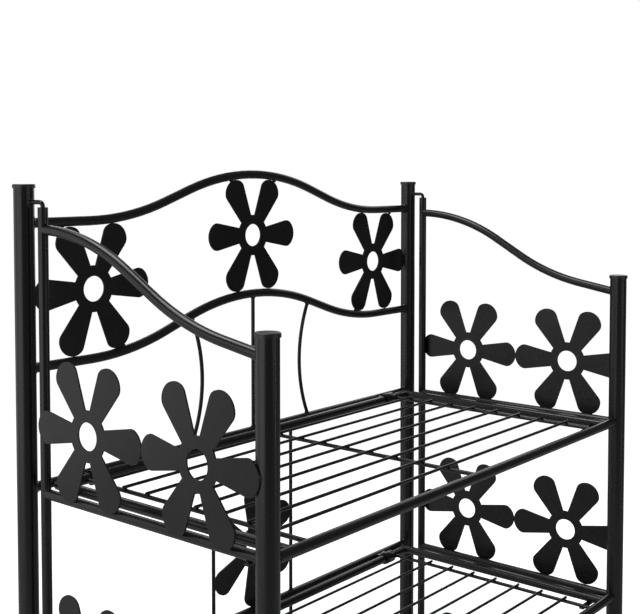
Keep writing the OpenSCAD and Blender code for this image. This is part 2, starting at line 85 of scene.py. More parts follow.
# Height of the bumps of a nugget as a share of its size, and how many bumps cross it
NUGGET_BUMP = 0.16
NUGGET_WAVES = 1.7
# Rings and corners of a straight bead, its ripples, the bluntness of its ends and the size they shrink to
BEAD_RINGS = 18
BEAD_CORNERS = 10
BEAD_RIPPLES = 5
BEAD_BLUNTNESS = 8
BEAD_TIP = 0.2
# Radius of the beads on the knuckles and tabs, as shares of the leg round a tube's end
KNUCKLE_BEAD = 0.8
TAB_BEAD = 0.6
# How far those beads end inside the knuckle, in legs, and inside the tab
KNUCKLE_BEAD_INSET = 2 / 3
TAB_BEAD_INSET = MM
# The beads on a tab lie this far over it in legs, and this far from the rail's middle in bar radii
TAB_BEAD_RISE = 0.3
TAB_BEAD_REACH = 0.7

# Corners of the hole in a flower's hub, on both faces, and the steps in which its middle is found
HUB_CORNERS = 120
HUB_STEPS = 3
# Share of a petal's length where the search for its weld starts, and the steps from there to the tip
PETAL_SEARCH_START = 0.7
PETAL_SEARCH_STEPS = 61
# Widest gap between a petal and the tube that it is tacked to, from the plate's middle plane
TACK_GAP = 1.4 * MM
# A petal laps over a tube's side where the cosine between the tube's face and the plate is more than this
LAP_COSINE = 0.7
# Distance to each side at which the tube's run under a lapping petal is felt for
RUN_PROBE = 3 * MM
# Half width and half height of a tack on a lapping petal, in tack radii
LAP_WIDTH = 1.5
LAP_HEIGHT = 0.55
# Nugget between the petals of two flowers side by side, in tack radii
BETWEEN_TACK = (0.715, 0.65, 1.3)
# Pressed weld where two wires cross, in crossing radii, and the round end of a wire, in wire radii
CROSSING = (1.35, 0.7, 1.1)
WIRE_END = (0.7, 1.02, 1.02)

# How strongly the finer waves of each noise show
GRAIN_ROUGHNESS = 0.55
# Roughness of the plates and wires as shares of the tubes', and of the bushes as a share of the caps'
PLATE_DULLNESS = 1.1
WIRE_DULLNESS = 1.05
BUSH_DULLNESS = 0.8
# Spread of the coat's gloss round its roughness, and of its slow changes of shade
GLOSS_SPREAD = 0.14
SHADE_SPREAD = 0.1
# Sizes of the coat's specks, patches of gloss and clouds of shade, in waves of orange peel
SPECK_WAVES = 0.5
GLOSS_WAVES = 14
CLOUD_WAVES = 40
# Mirroring of the moulded plastic, and the range of its shade and of its roughness
MOULDED_SHINE = 0.65
MOULDED_SHADES = (0.85, 1.25)
MOULDED_SPREAD = (0.9, 1.12)
# Edges whose faces turn by more than this are rounded by the coat
EDGE_ANGLE = math.radians(50)

# Width of the camera's sensor in millimetres, and the nearest distance that it sees
SENSOR_WIDTH = 36
NEAREST_SEEN = 0.01
# Half the floor's width, how far it lies under the feet, the size of its clouds and their darkest shade
FLOOR_HALF = 40
FLOOR_DROP = 0.2 * MM
FLOOR_CLOUDS = 0.4
FLOOR_SHADE = 0.985
# Height that the lamps point at, and how far they stand from it
LAMP_AIM = 0.5
LAMP_DISTANCE = 1.7
# Each lamp's setting, its turn from the front to the left and its rise in degrees, its width and height
LAMPS = {
    "left_softbox": ("left_light", 98, 9, (1.6, 1.4)),
    "rear_softbox": ("rear_light", 150, 9, (1.3, 1.4)),
    "right_softbox": ("right_light", 250, 20, (1.4, 1.2)),
    "top_softbox": ("top_light", 202, 36, (0.6, 0.5)),
    "front_softbox": ("front_light", 0, 8, (0.8, 0.8)),
    "overhead_softbox": ("overhead_light", 145, 70, (0.9, 0.9)),
    "strip_lamp": ("strip_light", 341, 5, (0.08, 1.5)),
}


class CoatSettings(bpy.types.PropertyGroup):
    """Finish of the steel and of the moulded parts"""
    tube_colour: FloatVectorProperty(
        name="Tube coat", description="Powder coat on the tubes and bars",
        subtype="COLOR", size=3, min=0, max=1, default=(0.0125, 0.0125, 0.013))
    plate_colour: FloatVectorProperty(
        name="Flower coat", description="Powder coat on the flower plates",
        subtype="COLOR", size=3, min=0, max=1, default=(0.0115, 0.0115, 0.012))
    wire_colour: FloatVectorProperty(
        name="Wire coat", description="Powder coat on the deck wires, rods and pins",
        subtype="COLOR", size=3, min=0, max=1, default=(0.0105, 0.0105, 0.011))
    plastic_colour: FloatVectorProperty(
        name="Moulded black", description="Plastic of the caps, feet and bushes",
        subtype="COLOR", size=3, min=0, max=1, default=(0.014, 0.014, 0.0145))
    coat_roughness: FloatProperty(
        name="Coat roughness", description="Roughness of the satin powder coat",
        min=0, max=1, default=0.25)
    plastic_roughness: FloatProperty(
        name="Plastic roughness", description="Roughness of the moulded plastic",
        min=0, max=1, default=0.38)
    peel_size: FloatProperty(
        name="Peel size", description="Distance between the waves of the coat's orange peel",
        subtype="DISTANCE", unit="LENGTH", min=0.0002, max=0.01, default=0.0016)
    peel_depth: FloatProperty(
        name="Peel depth", description="Height of the waves of the orange peel",
        subtype="DISTANCE", unit="LENGTH", min=0, max=0.001, default=0.00002)
    plate_edge: FloatProperty(
        name="Plate edge radius", description="Radius of the coat round the edges of the plates and tabs",
        subtype="DISTANCE", unit="LENGTH", min=0, max=0.0007, default=0.0003)


class WeldSettings(bpy.types.PropertyGroup):
    """Sizes of the weld beads"""
    tube_leg: FloatProperty(
        name="Tube bead leg", description="Leg of the fillet round the end of a tube",
        subtype="DISTANCE", unit="LENGTH", min=0.0005, max=0.004, default=0.0017)
    rod_leg: FloatProperty(
        name="Rod bead leg", description="Leg of the fillet round the end of a thin rod or pin",
        subtype="DISTANCE", unit="LENGTH", min=0.0003, max=0.003, default=0.0011)
    ripple: FloatProperty(
        name="Ripple", description="Height of the ripples of a bead as a share of its leg",
        subtype="FACTOR", min=0, max=0.5, default=0.1)
    ripple_count: IntProperty(
        name="Ripples in a bead", description="Ripples in one turn round a tube",
        min=4, max=60, default=15)
    tack_length: FloatProperty(
        name="Tack length", description="Length of the tack weld at the tip of a petal",
        subtype="DISTANCE", unit="LENGTH", min=0.001, max=0.012, default=0.0062)
    tack_radius: FloatProperty(
        name="Tack radius", description="Radius of the tack weld at the tip of a petal",
        subtype="DISTANCE", unit="LENGTH", min=0.0005, max=0.004, default=0.0016)
    crossing_radius: FloatProperty(
        name="Crossing radius", description="Radius of the pressed weld where two wires cross",
        subtype="DISTANCE", unit="LENGTH", min=0.0005, max=0.004, default=0.0013)


class StudioSettings(bpy.types.PropertyGroup):
    """Camera, floor and lamps"""
    camera_place: FloatVectorProperty(
        name="Camera place", description="Where the camera stands",
        subtype="TRANSLATION", unit="LENGTH", size=3, default=(-0.8636, -0.6646, 0.7713))
    camera_turn: FloatProperty(
        name="Camera turn", description="Turn of the camera from +Y towards +X",
        subtype="ANGLE", unit="ROTATION", default=math.radians(50.416))
    camera_dip: FloatProperty(
        name="Camera dip", description="How far the camera looks down from level",
        subtype="ANGLE", unit="ROTATION", default=math.radians(2.632))
    focal_length: FloatProperty(
        name="Focal length", description="Focal length in millimetres on a sensor 36 mm wide",
        min=20, max=200, default=61.373)
    lens_rise: FloatProperty(
        name="Lens shift", description="Vertical shift of the lens as a share of the picture's width",
        min=-0.5, max=0.5, default=-0.125)
    floor_colour: FloatVectorProperty(
        name="Floor colour", description="Colour of the pale floor",
        subtype="COLOR", size=3, min=0, max=1, default=(0.64, 0.64, 0.64))
    floor_glow: FloatProperty(
        name="Floor glow", description="How much of white the floor by the stand shows without any light",
        min=0, max=1, default=0.77)
    floor_fade: FloatVectorProperty(
        name="Floor fade",
        description="Distances from the stand where the floor's fade to white starts and ends",
        size=2, subtype="NONE", unit="LENGTH", default=(0.45, 0.85))
    left_light: FloatProperty(
        name="Left softbox", description="Brightness of the softbox on the left, where 1 shows as white",
        min=0, max=20, default=1.06)
    rear_light: FloatProperty(
        name="Rear softbox",
        description="Brightness of the softbox at the back left, where 1 shows as white",
        min=0, max=20, default=0.68)
    right_light: FloatProperty(
        name="Right softbox",
        description="Brightness of the softbox at the back right, where 1 shows as white",
        min=0, max=20, default=1.12)
    top_light: FloatProperty(
        name="Top softbox",
        description="Brightness of the small softbox above the back, where 1 shows as white",
        min=0, max=20, default=2.2)
    front_light: FloatProperty(
        name="Front softbox", description="Brightness of the softbox at the front, where 1 shows as white",
        min=0, max=20, default=0.48)
    overhead_light: FloatProperty(
        name="Overhead softbox", description="Brightness of the softbox overhead, where 1 shows as white",
        min=0, max=20, default=4.8)
    strip_light: FloatProperty(
        name="Strip lamp",
        description="Brightness of the narrow lamp at the front right, where 1 shows as white",
        min=0, max=20, default=2.9)
    mirrored: FloatProperty(
        name="Mirrored white", description="How much of the white surroundings shows in the coat's gloss",
        min=0, max=1, default=0.08)
    room_light: FloatProperty(
        name="Room light", description="Strength of the light from all round",
        min=0, max=1, default=0.03)


def mesh_piece(name, bm, finish, body):
    """Turns a bmesh into a piece of the stand that has a finish and rides on a body."""
    coating, slot = finish
    bmesh.ops.recalc_face_normals(bm, faces=bm.faces)
    mesh = bpy.data.meshes.new(name)
    bm.to_mesh(mesh)
    bm.free()
    mesh.polygons.foreach_set("use_smooth", [True] * len(mesh.polygons))
    mesh.materials.append(material_of(coating))
    piece = bpy.data.objects.new(name, mesh)
    bpy.context.scene.collection.objects.link(piece)
    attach(piece, body)


def node_points(node):
    """Corners of a node's mesh, in metres."""
    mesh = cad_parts[node].data
    points = np.zeros(len(mesh.vertices) * 3, np.float32)
    mesh.vertices.foreach_get("co", points)
    return points.reshape(-1, 3).astype(float)


def surface_of(*nodes):
    """Search tree over the faces of some nodes."""
    corners = []
    faces = []
    for node in nodes:
        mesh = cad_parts[node].data
        start = len(corners)
        corners += [v.co.copy() for v in mesh.vertices]
        faces += [[start + i for i in p.vertices] for p in mesh.polygons]
    return BVHTree.FromPolygons(corners, faces)


def clusters(points, spread):
    """Groups of points that lie within a distance of their group's first point."""
    groups = []
    for point in points:
        for group in groups:
            if np.linalg.norm(group[0] - point) < spread:
                group.append(point)
                break
        else:
            groups.append([point])
    return [np.array(group) for group in groups]


def seam_rings(node, surface, tube_radius):
    """Rims of a node's tube ends that lie against a surface: middle, axis away from it, loop of points."""
    near = [p for p in node_points(node) if surface.find_nearest(Vector(p), SEAM_REACH)[0]]
    rings = []
    for group in clusters(near, END_SPREAD * tube_radius):
        middle = (group.min(0) + group.max(0)) / 2
        if len(group) < END_POINTS:
            continue
        axis = np.linalg.svd(group - group.mean(0))[2][2]
        if np.dot(axis, surface.find_nearest(Vector(middle))[1]) < 0:
            axis = -axis
        side = np.array(Vector(axis).orthogonal().normalized())
        other = np.cross(axis, side)
        offset = group - middle
        reach = np.hypot(offset @ side, offset @ other)
        outer = reach > RIM_SHARE * reach.max()
        turn = np.arctan2(offset @ other, offset @ side)[outer]
        depth = (offset @ axis)[outer]
        order = turn.argsort()
        steps = np.linspace(-math.pi, math.pi, SEAM_STEPS, endpoint=False)
        depths = np.interp(steps, turn[order], depth[order], period=2 * math.pi)
        loop = [middle + tube_radius * (math.cos(t) * side + math.sin(t) * other) + d * axis
                for t, d in zip(steps, depths)]
        rings.append((Vector(middle), Vector(axis), [Vector(p) for p in loop]))
    return rings


def fillet_ring(bm, ring, own, surface, leg, settings):
    """Adds a rippled fillet round one tube end, from the tube's side to the surface that it meets."""
    middle, axis, loop = ring
    sections = []
    for count, rim in enumerate(loop):
        out = rim - middle
        out -= axis * out.dot(axis)
        out.normalize()
        turn = 2 * math.pi * count / len(loop)
        reach = leg * (1 + settings.ripple * math.sin(settings.ripple_count * turn)
                       + settings.ripple * noise.noise(rim / (4 * leg)))
        foot, slope = surface.find_nearest(rim + out * reach)[:2]
        top, flank = own.find_nearest(rim + axis * reach + out * FILLET_START * leg)[:2]
        foot -= slope * FILLET_SINK * leg
        top -= flank * FILLET_SINK * leg
        crown = (top + foot) / 2 + (out + axis).normalized() * FILLET_BULGE * reach
        root = rim - (out + axis) * FILLET_ROOT * leg
        lower = foot.lerp(crown, FILLET_BEND) + out * FILLET_SWELL * leg
        upper = top.lerp(crown, FILLET_BEND) + axis * FILLET_SWELL * leg
        sections.append([bm.verts.new(p) for p in (root, foot, lower, crown, upper, top)])
    for here, after in zip(sections, sections[1:] + sections[:1]):
        for i in range(len(here)):
            j = (i + 1) % len(here)
            bm.faces.new((here[i], here[j], after[j], after[i]))


def blob(bm, middle, along, up, size, seed=0.0):
    """Adds a rounded nugget of weld metal, with its half lengths and a seed for its unevenness."""
    along = Vector(along).normalized()
    up = Vector(up) - along * Vector(up).dot(along)
    up.normalize()
    across = along.cross(up)
    turn = Matrix((along, across, up)).transposed().to_4x4()
    scale = Matrix.Diagonal((size[0], size[1], size[2], 1))
    made = bmesh.ops.create_icosphere(bm, subdivisions=2, radius=1, matrix=Matrix.Identity(4))
    for vert in made["verts"]:
        bump = 1 + NUGGET_BUMP * noise.noise(vert.co * NUGGET_WAVES + Vector((seed, seed * 0.7, 3.1)))
        vert.co = Matrix.Translation(middle) @ turn @ scale @ (vert.co * bump)


def bead_line(bm, start, end, radius, settings):
    """Adds a straight rippled bead with round ends."""
    start, end = Vector(start), Vector(end)
    axis = (end - start).normalized()
    side = axis.orthogonal().normalized()
    other = axis.cross(side)
    turns = [2 * math.pi * corner / BEAD_CORNERS for corner in range(BEAD_CORNERS)]
    rings = []
    for ring in range(BEAD_RINGS + 1):
        share = ring / BEAD_RINGS
        swell = math.sqrt(max(0.0, 1 - (2 * share - 1) ** BEAD_BLUNTNESS))
        swell *= 1 + settings.ripple * math.sin(share * math.pi * 2 * BEAD_RIPPLES)
        point = start.lerp(end, share)
        size = radius * max(swell, BEAD_TIP)
        rings.append([bm.verts.new(point + size * (math.cos(t) * side + math.sin(t) * other))
                      for t in turns])
    for here, after in zip(rings, rings[1:]):
        for i in range(BEAD_CORNERS):
            j = (i + 1) % BEAD_CORNERS
            bm.faces.new((here[i], here[j], after[j], after[i]))
    bm.faces.new(rings[0])
    bm.faces.new(rings[-1])


def solids_of(node):
    """Points of each separate solid of a node, in the order of their lowest corners."""
    bm = bmesh.new()
    bm.from_mesh(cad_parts[node].data)
    bmesh.ops.remove_doubles(bm, verts=bm.verts, dist=SAME_POINT)
    seen = set()
    solids = []
    for start in bm.verts:
        if start in seen:
            continue
        seen.add(start)
        stack = [start]
        members = []
        while stack:
            vert = stack.pop()
            members.append(list(vert.co))
            for edge in vert.link_edges:
                other = edge.other_vert(vert)
                if other not in seen:
                    seen.add(other)
                    stack.append(other)
        solids.append(np.array(members))
    bm.free()
    return sorted(solids, key=lambda points: tuple(points.min(0).round(4)))


def middle_of(points):
    """Middle of the box round some points."""
    return Vector((points.min(0) + points.max(0)) / 2)


def grain_nodes(tree, size, detail):
    """Noise over the object's own coordinates, with waves of a size in metres."""
    place = tree.nodes.new("ShaderNodeTexCoord")
    grain = tree.nodes.new("ShaderNodeTexNoise")
    grain.inputs["Scale"].default_value = 1 / size
    grain.inputs["Detail"].default_value = detail
    grain.inputs["Roughness"].default_value = GRAIN_ROUGHNESS
    tree.links.new(place.outputs["Object"], grain.inputs["Vector"])
    return grain


def ranged(tree, source, low, high, start=0.3, end=0.7):
    """Maps a noise value onto a range."""
    node = tree.nodes.new("ShaderNodeMapRange")
    node.inputs["From Min"].default_value = start
    node.inputs["From Max"].default_value = end
    node.inputs["To Min"].default_value = low
    node.inputs["To Max"].default_value = high
    tree.links.new(source, node.inputs["Value"])
    return node.outputs["Result"]


def coat(name, colour, roughness, settings, speck=0.16, peel=1.0, shine=0.5):
    """Satin powder coat: orange peel, fine specks of powder and slow changes of gloss."""
    material = bpy.data.materials.new(name)
    material.use_nodes = True
    material.diffuse_color = (*colour, 1)
    tree = material.node_tree
    shader = tree.nodes["Principled BSDF"]
    shader.inputs["Specular IOR Level"].default_value = shine

    specks = grain_nodes(tree, SPECK_WAVES * settings.peel_size, 2)
    clouds = grain_nodes(tree, CLOUD_WAVES * settings.peel_size, 3)
    amount = tree.nodes.new("ShaderNodeMath")
    amount.operation = "ADD"
    tree.links.new(ranged(tree, specks.outputs["Fac"], -speck, speck), amount.inputs[0])
    tree.links.new(ranged(tree, clouds.outputs["Fac"], 1 - SHADE_SPREAD, 1 + SHADE_SPREAD),
                   amount.inputs[1])
    shade = tree.nodes.new("ShaderNodeMix")
    shade.data_type = "RGBA"
    shade.blend_type = "MULTIPLY"
    shade.inputs["Factor"].default_value = 1
    shade.inputs["A"].default_value = (*colour, 1)
    tree.links.new(amount.outputs["Value"], shade.inputs["B"])
    tree.links.new(shade.outputs["Result"], shader.inputs["Base Color"])

    gloss = grain_nodes(tree, GLOSS_WAVES * settings.peel_size, 4)
    spread = roughness * GLOSS_SPREAD
    tree.links.new(ranged(tree, gloss.outputs["Fac"], roughness - spread, roughness + spread),
                   shader.inputs["Roughness"])

    waves = grain_nodes(tree, settings.peel_size, 2)
    bump = tree.nodes.new("ShaderNodeBump")
    bump.inputs["Strength"].default_value = 1
    bump.inputs["Distance"].default_value = settings.peel_depth * peel
    tree.links.new(waves.outputs["Fac"], bump.inputs["Height"])
    tree.links.new(bump.outputs["Normal"], shader.inputs["Normal"])
    return material


def moulded(name, colour, roughness, grain_size, grain_depth):
    """Moulded plastic with a fine spark-eroded grain."""
    material = bpy.data.materials.new(name)
    material.use_nodes = True
    material.diffuse_color = (*colour, 1)
    tree = material.node_tree
    shader = tree.nodes["Principled BSDF"]
    shader.inputs["Specular IOR Level"].default_value = MOULDED_SHINE

    grain = grain_nodes(tree, grain_size, 4)
    ramp = tree.nodes.new("ShaderNodeMix")
    ramp.data_type = "RGBA"
    for end, share in zip("AB", MOULDED_SHADES):
        ramp.inputs[end].default_value = (*[c * share for c in colour], 1)
    tree.links.new(ranged(tree, grain.outputs["Fac"], 0, 1), ramp.inputs["Factor"])
    tree.links.new(ramp.outputs["Result"], shader.inputs["Base Color"])
    low, high = [roughness * share for share in MOULDED_SPREAD]
    tree.links.new(ranged(tree, grain.outputs["Fac"], low, high), shader.inputs["Roughness"])
    bump = tree.nodes.new("ShaderNodeBump")
    bump.inputs["Strength"].default_value = 1
    bump.inputs["Distance"].default_value = grain_depth
    tree.links.new(grain.outputs["Fac"], bump.inputs["Height"])
    tree.links.new(bump.outputs["Normal"], shader.inputs["Normal"])
    return material


def material_of(name):
    """A finish that an earlier step made."""
    found = bpy.data.materials.get(name)
    if found is None:
        raise RuntimeError(f"the finish {name} isn't made yet")
    return found


def finish_node(node, material, edge=0.0):
    """Gives a frame node its finish and, where it has cut edges, rounds them."""
    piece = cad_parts[node]
    for place in piece.material_slots:
        place.material = material
    if not edge:
        return
    join = piece.modifiers.new("joined faces", "WELD")
    join.merge_threshold = SAME_POINT
    bevel = piece.modifiers.new("coated edge", "BEVEL")
    bevel.width = edge
    bevel.segments = 2
    bevel.limit_method = "ANGLE"
    bevel.angle_limit = EDGE_ANGLE
    bevel.harden_normals = True


def nodes_ending(*ends):
    """Names of the frame's nodes with one of these endings."""
    return [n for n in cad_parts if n.endswith(ends)]


class STAND_OT_coat_tubes(bpy.types.Operator):
    """Coat the posts, bars, rails, shelf tubes, knuckles and tabs"""
    bl_idname = "stand.coat_tubes"
    bl_label = "Coat the tubes"

    def execute(self, context):
        s = context.scene.stand_coat
        paint = coat(TUBE_FINISH[0], s.tube_colour, s.coat_roughness, s)
        for node in nodes_ending("_post", "_bar", "_rail", "_tube", "_tubes", "crossbar"):
            finish_node(node, paint)
        for node in nodes_ending("_tabs", "_knuckles"):
            finish_node(node, paint, s.plate_edge)
        return {"FINISHED"}


class STAND_OT_coat_flowers(bpy.types.Operator):
    """Coat the flower plates and round their cut edges"""
    bl_idname = "stand.coat_flowers"
    bl_label = "Coat the flower plates"

    def execute(self, context):
        s = context.scene.stand_coat
        roughness = s.coat_roughness * PLATE_DULLNESS
        paint = coat(PLATE_FINISH[0], s.plate_colour, roughness, s, speck=0.12, shine=0.43)
        for node in nodes_ending("_flower", "_flowers"):
            finish_node(node, paint, s.plate_edge)
        return {"FINISHED"}


class STAND_OT_coat_wires(bpy.types.Operator):
    """Coat the deck wires, the rods of the back and the pins"""
    bl_idname = "stand.coat_wires"
    bl_label = "Coat the wires and rods"

    def execute(self, context):
        s = context.scene.stand_coat
        paint = coat(WIRE_FINISH[0], s.wire_colour, s.coat_roughness * WIRE_DULLNESS, s, peel=0.6)
        for node in nodes_ending("_deck", "_rods", "_pins"):
            finish_node(node, paint)
        return {"FINISHED"}


class STAND_OT_finish_mouldings(bpy.types.Operator):
    """Give the caps, feet and bushes their moulded plastic"""
    bl_idname = "stand.finish_mouldings"
    bl_label = "Finish the caps, feet and bushes"

    def execute(self, context):
        s = context.scene.stand_coat
        plastic = moulded("cap_black", s.plastic_colour, s.plastic_roughness,
                          grain_size=0.5 * MM, grain_depth=0.012 * MM)
        nylon = moulded("bush_black", s.plastic_colour, s.plastic_roughness * BUSH_DULLNESS,
                        grain_size=1.2 * MM, grain_depth=0.005 * MM)
        for node in nodes_ending("_cap", "_caps", "_foot", "_feet"):
            finish_node(node, plastic)
        for node in nodes_ending("_bushes"):
            finish_node(node, nylon)
        return {"FINISHED"}


def radius_of(node):
    """Radius of a straight tube that lies along X or Y."""
    low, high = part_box(node)
    return (high.z - low.z) / 2


def weld_tube_ends(name, nodes, targets, tube_radius, leg, body, settings, finish=TUBE_FINISH):
    """Makes one piece of the fillets round the tube ends of some nodes."""
    bm = bmesh.new()
    surface = surface_of(*targets)
    count = 0
    for node in nodes:
        own = surface_of(node)
        for ring in seam_rings(node, surface, tube_radius):
            fillet_ring(bm, ring, own, surface, leg, settings)
            count += 1
    if not count:
        raise RuntimeError(f"{name}: no tube end lies against {targets}")
    mesh_piece(name, bm, finish, body)


def flower_lines(flower):
    """Middle of a flower plate's hub, the plate's normal and the six directions of its petals."""
    middle = middle_of(flower)
    for _ in range(HUB_STEPS):
        order = np.linalg.norm(flower - np.array(middle), axis=1).argsort()
        middle = Vector(flower[order[:HUB_CORNERS]].mean(0))
    normal = Vector(np.linalg.svd(flower - flower.mean(0))[2][2])
    offsets = [Vector(p) - middle for p in flower]
    offsets = [o - normal * o.dot(normal) for o in offsets]
    tip = max(offsets, key=lambda o: o.length)
    lines = [Matrix.Rotation(petal * PETAL_TURN, 3, normal) @ tip for petal in range(PETALS)]
    return middle, normal, lines


def petal_contact(middle, line, surface):
    """First place along a petal that lies against a surface, with the surface's normal, or None."""
    best = None
    for share in np.linspace(PETAL_SEARCH_START, 1.0, PETAL_SEARCH_STEPS):
        spot, away, _, gap = surface.find_nearest(middle + line * share)
        if best and gap > best[0]:
            break
        if gap < TACK_GAP:
            best = (gap, spot, away)
    return best[1:] if best else None


def tack_petals(bm, flower, surface, settings):
    """Adds a tack weld wherever a petal of a flower plate lies against a surface, and returns how many."""
    middle, normal, lines = flower_lines(flower)
    half = settings.tack_length / 2
    radius = settings.tack_radius
    count = 0
    for line in lines:
        contact = petal_contact(middle, line, surface)
        if contact is None:
            continue
        spot, away = contact
        seed = count + middle.x * 40 + middle.z * 90
        if abs(away.dot(normal)) > LAP_COSINE:
            # The petal laps over the side of a tube, and the tack lies along the tube
            flat = normal.cross(Vector((0, 0, 1))).normalized()
            run = min((flat, Vector((0, 0, 1))),
                      key=lambda way: surface.find_nearest(spot + way * RUN_PROBE)[3]
                      + surface.find_nearest(spot - way * RUN_PROBE)[3])
            blob(bm, spot, run, away, (half, LAP_WIDTH * radius, LAP_HEIGHT * radius), seed)
        else:
            blob(bm, spot, normal.cross(line), line, (half, radius, radius), seed)
        count += 1
    return count


def weld_flowers(name, nodes, targets, body, settings):
    """Makes one piece of the tack welds that hold some flower plates."""
    bm = bmesh.new()
    surface = surface_of(*targets)
    count = 0
    for node in nodes:
        flowers = solids_of(node)
        for flower in flowers:
            count += tack_petals(bm, flower, surface, settings)
        for here, after in zip(flowers, flowers[1:]):
            between = (here[here[:, 1].argmax()] + after[after[:, 1].argmin()]) / 2
            size = [share * settings.tack_radius for share in BETWEEN_TACK]
            blob(bm, Vector(between), (1, 0, 0), (0, 1, 0), size, seed=between[2] * 70)
    if not count:
        raise RuntimeError(f"{name}: no petal lies against {targets}")
    mesh_piece(name, bm, PLATE_FINISH, body)


class STAND_OT_weld_back_frame(bpy.types.Operator):
    """Weld the wave bars, crossbars and hinge pins to the rear posts"""
    bl_idname = "stand.weld_back_frame"
    bl_label = "Weld the back frame"

    def execute(self, context):
        w = context.scene.stand_weld
        posts = ["left_rear_post", "right_rear_post"]
        bar = radius_of("top_crossbar")
        crossbars = [level + "_crossbar" for level in LEVELS]
        waves = ["top_wave_bar", "lower_wave_bar"]
        weld_tube_ends("wave_bar_welds", waves, posts, bar, w.tube_leg, "back_frame", w)
        weld_tube_ends("crossbar_welds", crossbars, posts, bar, w.tube_leg, "back_frame", w)
        weld_tube_ends("hinge_pin_welds", ["side_hinge_pins"], posts, HINGE_PIN_RADIUS, w.rod_leg,
                       "back_frame", w, WIRE_FINISH)
        return {"FINISHED"}


class STAND_OT_weld_back_rods(bpy.types.Operator):
    """Weld the thin rods of the back to the crossbars and the lower wave bar"""
    bl_idname = "stand.weld_back_rods"
    bl_label = "Weld the rods of the back"

    def execute(self, context):
        w = context.scene.stand_weld
        low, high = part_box("lower_back_rods")
        rod = (high.y - low.y) / 2
        bars = ["lower_wave_bar"] + [level + "_crossbar" for level in LEVELS]
        weld_tube_ends("back_rod_welds", ["upper_back_rods", "lower_back_rods"], bars, rod, w.rod_leg,
                       "back_frame", w, WIRE_FINISH)
        return {"FINISHED"}


class STAND_OT_weld_knuckles(bpy.types.Operator):
    """Weld the shelf knuckles along the crossbars"""
    bl_idname = "stand.weld_knuckles"
    bl_label = "Weld the shelf knuckles"

    def execute(self, context):
        w = context.scene.stand_weld
        bm = bmesh.new()
        inset = KNUCKLE_BEAD_INSET * w.tube_leg
        for knuckle in solids_of("shelf_knuckles"):
            low, high = Vector(knuckle.min(0)), Vector(knuckle.max(0))
            web = knuckle[knuckle[:, 1] > high.y - SAME_POINT]
            for height in (web[:, 2].min(), web[:, 2].max()):
                bead_line(bm, (low.x + inset, high.y, height), (high.x - inset, high.y, height),
                          KNUCKLE_BEAD * w.tube_leg, w)
        mesh_piece("knuckle_welds", bm, TUBE_FINISH, "back_frame")
        return {"FINISHED"}


class STAND_OT_weld_side_frames(bpy.types.Operator):
    """Weld the curved bars, rails and support tabs of both side frames"""
    bl_idname = "stand.weld_side_frames"
    bl_label = "Weld the side frames"

    def execute(self, context):
        w = context.scene.stand_weld
        for side in SIDES:
            body = side + "_side_frame"
            rails = [f"{side}_{level}_rail" for level in LEVELS]
            uprights = [side + "_front_post", side + "_hinge_tube"]
            bar = radius_of(rails[0])
            bars = [side + "_curved_bar"] + rails
            weld_tube_ends(side + "_bar_welds", bars, uprights, bar, w.tube_leg, body, w)
            rail = middle_of(node_points(rails[0])).x
            bm = bmesh.new()
            for tab in solids_of(side + "_support_tabs"):
                start, end = tab[:, 1].min() + TAB_BEAD_INSET, tab[:, 1].max() - TAB_BEAD_INSET
                height = tab[:, 2].max() + TAB_BEAD_RISE * w.tube_leg
                for x in (rail - TAB_BEAD_REACH * bar, rail + TAB_BEAD_REACH * bar):
                    bead_line(bm, (x, start, height), (x, end, height), TAB_BEAD * w.tube_leg, w)
            mesh_piece(side + "_tab_welds", bm, TUBE_FINISH, body)
        return {"FINISHED"}


class STAND_OT_weld_flowers(bpy.types.Operator):
    """Tack the flower plates to the bars, posts and rails"""
    bl_idname = "stand.weld_flowers"
    bl_label = "Weld the flower plates"

    def execute(self, context):
        w = context.scene.stand_weld
        crest = ["left_crest_flower", "middle_crest_flower", "right_crest_flower"]
        around = ["top_wave_bar", "lower_wave_bar", "left_rear_post", "right_rear_post"]
        weld_flowers("crest_flower_welds", crest, around, "back_frame", w)
        back = ["middle_back_flower", "bottom_back_flower"]
        around = ["lower_back_rods"] + [level + "_crossbar" for level in LEVELS]
        weld_flowers("back_flower_welds", back, around, "back_frame", w)
        for side in SIDES:
            plates = [f"{side}_{level}_flowers" for level in LEVELS]
            around = [side + "_front_post", side + "_hinge_tube"]
            around += [f"{side}_{level}_rail" for level in LEVELS]
            weld_flowers(side + "_flower_welds", plates, around, side + "_side_frame", w)
        return {"FINISHED"}


def deck_parts(level):
    """Wires of a shelf's deck, which run from side to side, and its rods, from front to back."""
    deck = solids_of(level + "_shelf_deck")
    wires = [part for part in deck if np.ptp(part[:, 0]) > np.ptp(part[:, 1])]
    rods = [part for part in deck if np.ptp(part[:, 0]) < np.ptp(part[:, 1])]
    if not wires or not rods:
        raise RuntimeError(f"{level} deck: no crossing wires")
    return wires, rods


def weld_deck(level, settings):
    """Makes the pressed welds where a shelf's wires cross its rods, and the round ends of the wires."""
    wires, rods = deck_parts(level)
    bm = bmesh.new()
    radius = settings.crossing_radius
    for wire in wires:
        thick = np.ptp(wire[:, 2]) / 2
        y, z = middle_of(wire).y, middle_of(wire).z
        for rod in rods:
            place = Vector((middle_of(rod).x, y, z - thick))
            size = [share * radius for share in CROSSING]
            blob(bm, place, (1, 0, 0), (0, 0, 1), size, seed=place.x * 50 + y * 90)
        size = [share * thick for share in WIRE_END]
        for end in (wire[:, 0].min(), wire[:, 0].max()):
            blob(bm, Vector((end, y, z)), (1, 0, 0), (0, 0, 1), size, seed=y * 70)
    mesh_piece(level + "_deck_welds", bm, WIRE_FINISH, level + "_shelf")


